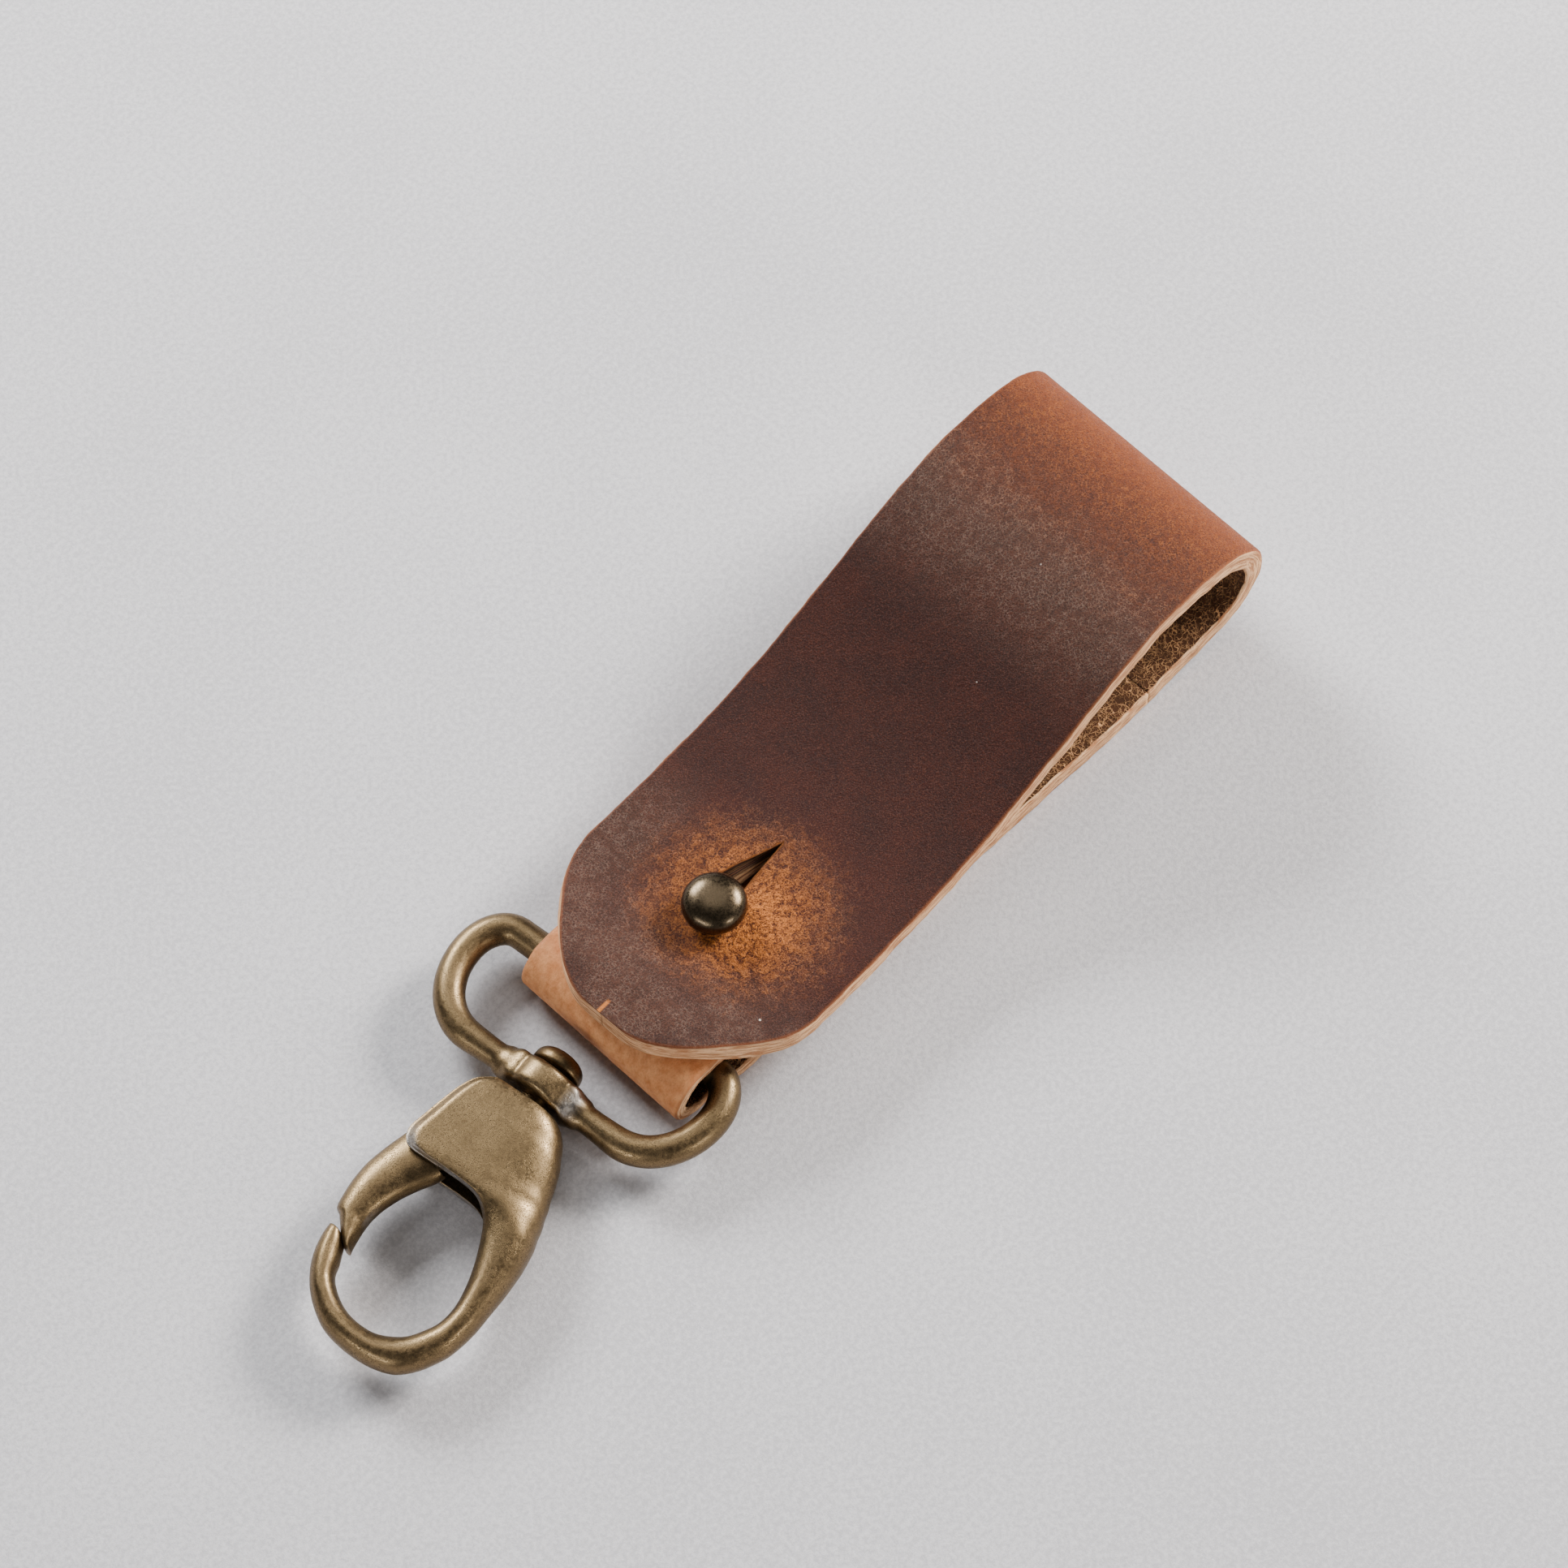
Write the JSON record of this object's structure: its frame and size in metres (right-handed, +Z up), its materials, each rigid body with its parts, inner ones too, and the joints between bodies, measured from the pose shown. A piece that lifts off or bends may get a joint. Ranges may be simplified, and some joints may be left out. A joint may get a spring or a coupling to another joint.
{
  "type": "keychain",
  "caption": "Leather belt-loop key holder: a folded strap that buttons over a round stud, with an oval swivel ring and a gated snap hook.",
  "frame": {"origin": "middle of the flat back face that the strap rests on", "axes": "+X along the strap towards the belt fold, +Z up out of the back face towards the flap and stud, the hook at -X"},
  "size_m": [0.1464, 0.0406, 0.0225],
  "materials": {
    "leather": "waxed pull-up leather, dark brown",
    "turned_leather": "waxed leather, paler where it is turned",
    "antique_brass": "antique brass, dark with rubbed high spots",
    "dark_brass": "dark smooth antique brass",
    "steel": "dull bright steel"
  },
  "bodies": {
    "strap": {"strap_back": "turned_leather", "button_stud": "dark_brass", "stud_screw": "dark_brass"},
    "flap": {"strap_flap": "leather"},
    "ring": {"swivel_loop": "antique_brass"},
    "hook": {"hook_body": "antique_brass", "swivel_rivet": "dark_brass", "gate_pin": "steel", "gate_spring": "steel"},
    "gate": {"hook_gate": "antique_brass"}
  },
  "joints": [
    {"name": "flap_open", "type": "hinge", "parent": "strap", "child": "flap", "pos_m": [0.0597, 0, 0.01], "axis": [0, 1, 0], "range_deg": [0, 70]},
    {"name": "loop_swing", "type": "hinge", "parent": "strap", "child": "ring", "pos_m": [-0.0346, 0.0023, 0.00425], "axis": [-0.0785, 0.9969, 0], "range_deg": [-100, 90]},
    {"name": "hook_swivel", "type": "hinge", "parent": "ring", "child": "hook", "pos_m": [-0.04846, 0.00121, 0.00425], "axis": [0.9923, 0.1236, 0], "continuous": true},
    {"name": "gate_pivot", "type": "hinge", "parent": "hook", "child": "gate", "pos_m": [-0.05756, 0.00471, 0.00425], "axis": [0, 0, 1], "range_deg": [0, 30], "stiffness_Nm_per_rad": 0.02, "springref_deg": -17.19, "deforming": ["gate_spring"]}
  ]
}
